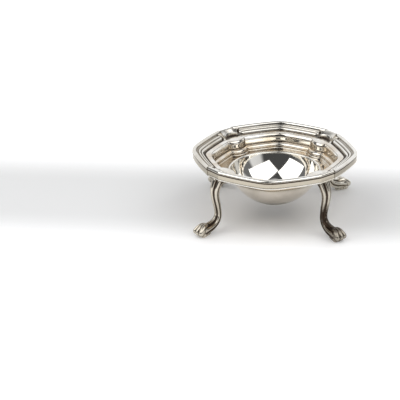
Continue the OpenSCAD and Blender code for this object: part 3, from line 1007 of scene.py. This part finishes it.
def swelling(place, size, turn):
    """The points and faces of one swelling of the paw: a stretched ball, turned outward."""
    ball = bmesh.new()
    bmesh.ops.create_icosphere(ball, subdivisions=3, radius=1.0)
    points = np.array([v.co for v in ball.verts]) * np.array(size)
    faces = [[v.index for v in f.verts] for f in ball.faces]
    ball.free()
    return turned(points, turn) + np.array(place), faces


def joined(parts):
    """Points and faces of several parts as one list of each."""
    points, faces = [], []
    for more, sides in parts:
        faces += [[i + len(points) for i in side] for side in sides]
        points += list(more)
    return points, faces


def toe_place(turn, along, height):
    """A place along a toe that is turned outward about the heel."""
    a = math.radians(turn)
    return HEEL_REACH + along * math.cos(a), along * math.sin(a), height


def toe(turn):
    """One toe as a row of overlapping swellings, from the instep over the knuckle to the lifted tip."""
    free = TOE_LENGTH - TOE_RADIUS
    # Distance from the heel, height as a share of the paw's, radius as a share of the toe's
    path = (
        (0.4, 0.60, 0.75),
        (2.6, 0.66, 0.90),
        (PAW_WIDTH / 2, 0.67, 1.0),
        (PAW_WIDTH / 2 + 0.5 * free, 0.53, 1.06),
        (PAW_WIDTH / 2 + 0.9 * free, 0.40, 0.92),
    )
    parts = []
    for along, height, share in smooth_line(np.array(path), 4):
        size = (TOE_RADIUS * share, TOE_SLIMNESS * TOE_RADIUS * share, TOE_RADIUS * share)
        parts.append(swelling(toe_place(turn, along, height * PAW_HEIGHT), size, turn))
    return joined(parts)


def leg_solid():
    """The casting on the line to the right: shank, toes and soles grown together, with flat cuts."""
    rings, dark = leg_rings()
    shank = loft("shank", rings)
    points = [np.array(v.co) / MM for v in shank.vertices]
    parts = [(points, [list(p.vertices) for p in shank.polygons])]
    toe_turns = (-TOE_SPREAD, 0, TOE_SPREAD)
    parts += [toe(turn) for turn in toe_turns]
    for turn in toe_turns:
        for along in SOLE_PLACES:
            place = toe_place(turn, along, TOE_RADIUS - SOLE_CUT)
            parts.append(swelling(place, (TOE_RADIUS, SOLE_SLIMNESS * TOE_RADIUS, TOE_RADIUS), turn))
    points, faces = joined(parts)
    solid = bpy.data.meshes.new("leg_parts")
    solid.from_pydata([tuple(p * MM) for p in points], [], faces)
    piece = working_piece("leg_work", solid)
    join = piece.modifiers.new("join", "REMESH")
    join.mode = "VOXEL"
    join.voxel_size = VOXEL * MM
    join.use_smooth_shade = True
    soften = piece.modifiers.new("soften", "SMOOTH")
    soften.factor = 0.5
    soften.iterations = 4
    mesh = flat_cuts(plain_mesh(piece, "leg"))
    hollows(mesh, 2.2, 1)
    places = KDTree(len(dark))
    for k, place in enumerate(np.reshape(rings, (-1, 3))):
        places.insert(Vector(place * MM), k)
    places.balance()
    tarnish_and_shade = []
    for vertex in mesh.vertices:
        _, k, apart = places.find(vertex.co)
        # Painted shade on the inner side of the leg's top, under the tray
        inner = min(1.0, max(0.0, (KNEE_REACH - 0.5 - vertex.co.x / MM) / 1.5))
        under = min(1.0, max(0.0, (vertex.co.z / MM / LEG_TOP - 0.80) / 0.12))
        in_flute = dark[k] * max(0.0, 1 - apart / (0.9 * MM))
        tarnish_and_shade.append(max(FLUTE_DARK * in_flute, WEB_SHADE * inner * under))
    store(mesh, "tarnish_and_shade", tarnish_and_shade)
    store(mesh, "tone", np.full(len(tarnish_and_shade), CAST_TONE))
    return mesh


def flat_cuts(mesh):
    """Cuts the casting flat at the table and where it meets the tray, and closes both cuts."""
    shell = bmesh.new()
    shell.from_mesh(mesh)
    for height, way in ((0.0, -1), (LEG_TOP * MM, 1)):
        geometry = list(shell.verts) + list(shell.edges) + list(shell.faces)
        plane = {"plane_co": (0, 0, height), "plane_no": (0, 0, way)}
        bmesh.ops.bisect_plane(shell, geom=geometry, clear_outer=True, dist=1e-7, **plane)
        rim = [e for e in shell.edges if e.is_boundary]
        bmesh.ops.holes_fill(shell, edges=rim, sides=0)
    bmesh.ops.triangulate(shell, faces=[f for f in shell.faces if len(f.verts) > 4])
    bmesh.ops.recalc_face_normals(shell, faces=shell.faces)
    shell.to_mesh(mesh)
    shell.free()
    mesh.update()
    return mesh


leg_mesh = leg_solid()
leg_points = np.array([v.co for v in leg_mesh.vertices])
leg_kept = np.empty(len(leg_points), np.float32)
leg_mesh.attributes["tarnish_and_shade"].data.foreach_get("value", leg_kept)
# The share of the paw and of the shank over it that take painted shade, by the height in shares of the
# leg's
leg_height = leg_points[:, 2] / MM / LEG_TOP
in_paw = np.clip((0.28 - leg_height) / 0.12, 0, 1)
in_foot = np.clip((0.62 - leg_height) / 0.2, 0, 1) * (1 - 0.6 * in_paw)
for corner, turn in CORNER_TURNS.items():
    mesh = leg_mesh.copy()
    # Each copy of the leg takes its own painted shade
    all_over, at_foot, in_creases = LEG_SHADE[corner]
    store(mesh, "tarnish_and_shade", leg_kept * (1 + in_creases * in_paw) + all_over + at_foot * in_foot)
    mesh.vertices.foreach_set("co", turned(leg_points, turn).astype(np.float32).ravel())
    mesh.update()
    set_piece("paw_leg_" + corner, mesh, ["leg_" + corner], [cast_silver], 50)
bpy.data.meshes.remove(leg_mesh)


# Floor, light and camera

# In metres, but for the strength of the glow
FLOOR_HALF = 3.0
FLOOR_GLOW = 0.5
# Painted shadow: the glow of the floor fades out towards a line from left to right under the object
FLOOR_SHADOW_AT = 0.012
FLOOR_SHADOW_REACH = (0.02, 0.08)


def floor():
    """A pale floor, lifted by a glow that only the camera and reflections see, with a painted shadow where
    the glow fades under the object.
    """
    mesh = bpy.data.meshes.new("floor")
    corners = [(x * FLOOR_HALF, y * FLOOR_HALF, 0) for x, y in ((-1, -1), (1, -1), (1, 1), (-1, 1))]
    mesh.from_pydata(corners, [], [(0, 1, 2, 3)])
    material = bpy.data.materials.new("pale_floor")
    material.use_nodes = True
    n = Nodes(material.node_tree)
    place = n.add("ShaderNodeTexCoord").outputs["Object"]
    tint = n.noise(place, 6.0, 2.0, 0.5)
    pale = n.blend(tint, (0.87, 0.87, 0.87, 1.0), (0.90, 0.90, 0.89, 1.0))
    cloth = n.add("ShaderNodeBsdfPrincipled", Roughness=0.6, Base_Color=pale)
    rays = n.add("ShaderNodeLightPath")
    seen = n.math("ADD", rays.outputs["Is Camera Ray"], rays.outputs["Is Glossy Ray"], True)
    seen = n.math("ADD", seen, rays.outputs["Is Transmission Ray"], True)
    apart = n.add("ShaderNodeSeparateXYZ", Vector=place)
    # The painted shadow: no glow near the line under the object
    away = n.math("ABSOLUTE", n.math("ADD", apart.outputs["Y"], -FLOOR_SHADOW_AT))
    growth = n.smooth(away, *FLOOR_SHADOW_REACH)
    strength = n.times(n.times(seen, growth), FLOOR_GLOW)
    glow = n.add("ShaderNodeEmission", Color=(0.98, 0.98, 1.0, 1.0), Strength=strength)
    both = n.add("ShaderNodeAddShader")
    n.put(cloth.outputs[0], both.inputs[0])
    n.put(glow.outputs[0], both.inputs[1])
    n.add("ShaderNodeOutputMaterial", Surface=both.outputs[0])
    mesh.materials.append(material)
    piece = bpy.data.objects.new("floor", mesh)
    bpy.context.scene.collection.objects.link(piece)


def way_to(azimuth, elevation):
    """The direction at a turn from the front to the right, and a height over the table, in degrees."""
    a, e = math.radians(azimuth), math.radians(elevation)
    return Vector((math.sin(a) * math.cos(e), -math.cos(a) * math.cos(e), math.sin(e)))


# Softboxes: distance in metres, power in watts, and the height in metres that they look at
LAMP_DISTANCE = 0.8
LAMP_POWER = 3.2
LAMP_AIM = 0.02


def softbox(name, azimuth, elevation, width, height):
    """A large lamp that looks at the middle of the object."""
    way = way_to(azimuth, elevation)
    light = bpy.data.lights.new(name, "AREA")
    light.shape = "RECTANGLE"
    light.size = width
    light.size_y = height
    light.energy = LAMP_POWER
    lamp = bpy.data.objects.new(name, light)
    lamp.location = Vector((0, 0, LAMP_AIM)) + LAMP_DISTANCE * way
    lamp.rotation_euler = way.to_track_quat("Z", "Y").to_euler()
    bpy.context.scene.collection.objects.link(lamp)


# The room: how bright each part is, the turns from the front where it starts, is full and fades, and the
# heights where it ends, in degrees. The ceiling has only the heights where it starts and is full.
ROOM_DARK = 0.07
ROOM_SIDE = (0.10, 40, 70)
WINDOW = (0.65, 32, 46, 70, 80, 34, 44)
BACKDROP = (0.85, 108, 124, 42, 56)
CEILING = (0.45, 74, 82)


def surroundings():
    """A dark front behind the camera, a window on the right, a pale backdrop and a grey ceiling."""
    world = bpy.data.worlds.new("studio")
    bpy.context.scene.world = world
    world.use_nodes = True
    n = Nodes(world.node_tree)
    way = n.add("ShaderNodeSeparateXYZ", Vector=n.add("ShaderNodeTexCoord").outputs["Generated"])
    front = n.times(way.outputs["Y"], -1.0)
    turn = n.math("ARCTAN2", way.outputs["X"], front)
    height = n.math("ARCSINE", way.outputs["Z"])

    def rise(angle, low, high):
        return n.smooth(angle, math.radians(low), math.radians(high))

    aside = n.math("ABSOLUTE", turn)
    level, first, last = ROOM_SIDE
    light = n.math("ADD", n.times(rise(aside, first, last), level), ROOM_DARK)
    level, first, full, fade, last, top, above = WINDOW
    seen = n.minus(rise(turn, first, full), rise(turn, fade, last))
    seen = n.times(seen, n.minus(1.0, rise(height, top, above)))
    light = n.math("ADD", light, n.times(seen, level))
    level, first, full, top, above = BACKDROP
    seen = n.times(rise(aside, first, full), n.minus(1.0, rise(height, top, above)))
    light = n.math("ADD", light, n.times(seen, level))
    level, low, high = CEILING
    light = n.math("ADD", light, n.times(rise(height, low, high), level))
    sky = n.add("ShaderNodeBackground", Color=(0.97, 0.98, 1.0, 1.0), Strength=light)
    n.add("ShaderNodeOutputWorld", Surface=sky.outputs[0])


# Turn and height in degrees, distance in metres, and the rest in the photograph's pixels
CAMERA_AZIMUTH = 4.2
CAMERA_ELEVATION = 21.6
CAMERA_DISTANCE = 0.850
FOCAL_PIXELS = 1676.0
IMAGE_PIXELS = 400.0
RIM_MIDDLE_AT = (274.5, 149.5)
SENSOR_MM = 36.0


def set_camera():
    """A level camera that brings the rim's middle to its place in a square image."""
    a = math.radians(CAMERA_AZIMUTH)
    way = way_to(CAMERA_AZIMUTH, CAMERA_ELEVATION)
    right = Vector((math.cos(a), math.sin(a), 0))
    up = way.cross(right)
    target = Vector((0, 0, TOTAL_HEIGHT * MM))
    scale = CAMERA_DISTANCE / FOCAL_PIXELS
    aside = (RIM_MIDDLE_AT[0] - IMAGE_PIXELS / 2) * scale
    above = (IMAGE_PIXELS / 2 - RIM_MIDDLE_AT[1]) * scale
    place = target + CAMERA_DISTANCE * way
    back = (way * CAMERA_DISTANCE + right * aside + up * above).normalized()
    level = (up - back * up.dot(back)).normalized()
    across = level.cross(back)
    lens = bpy.data.cameras.new("camera")
    lens.sensor_width = SENSOR_MM
    lens.lens = FOCAL_PIXELS / IMAGE_PIXELS * SENSOR_MM
    lens.clip_start = 0.01
    lens.clip_end = 20.0
    camera = bpy.data.objects.new("camera", lens)
    camera.location = place
    camera.rotation_euler = Matrix((across, level, back)).transposed().to_euler()
    bpy.context.scene.collection.objects.link(camera)
    bpy.context.scene.camera = camera


floor()
softbox("left_softbox", -63, 45, 0.78, 0.75)
softbox("right_softbox", 56, 54, 1.05, 0.60)
surroundings()
set_camera()
bpy.context.scene.view_settings.view_transform = "Standard"
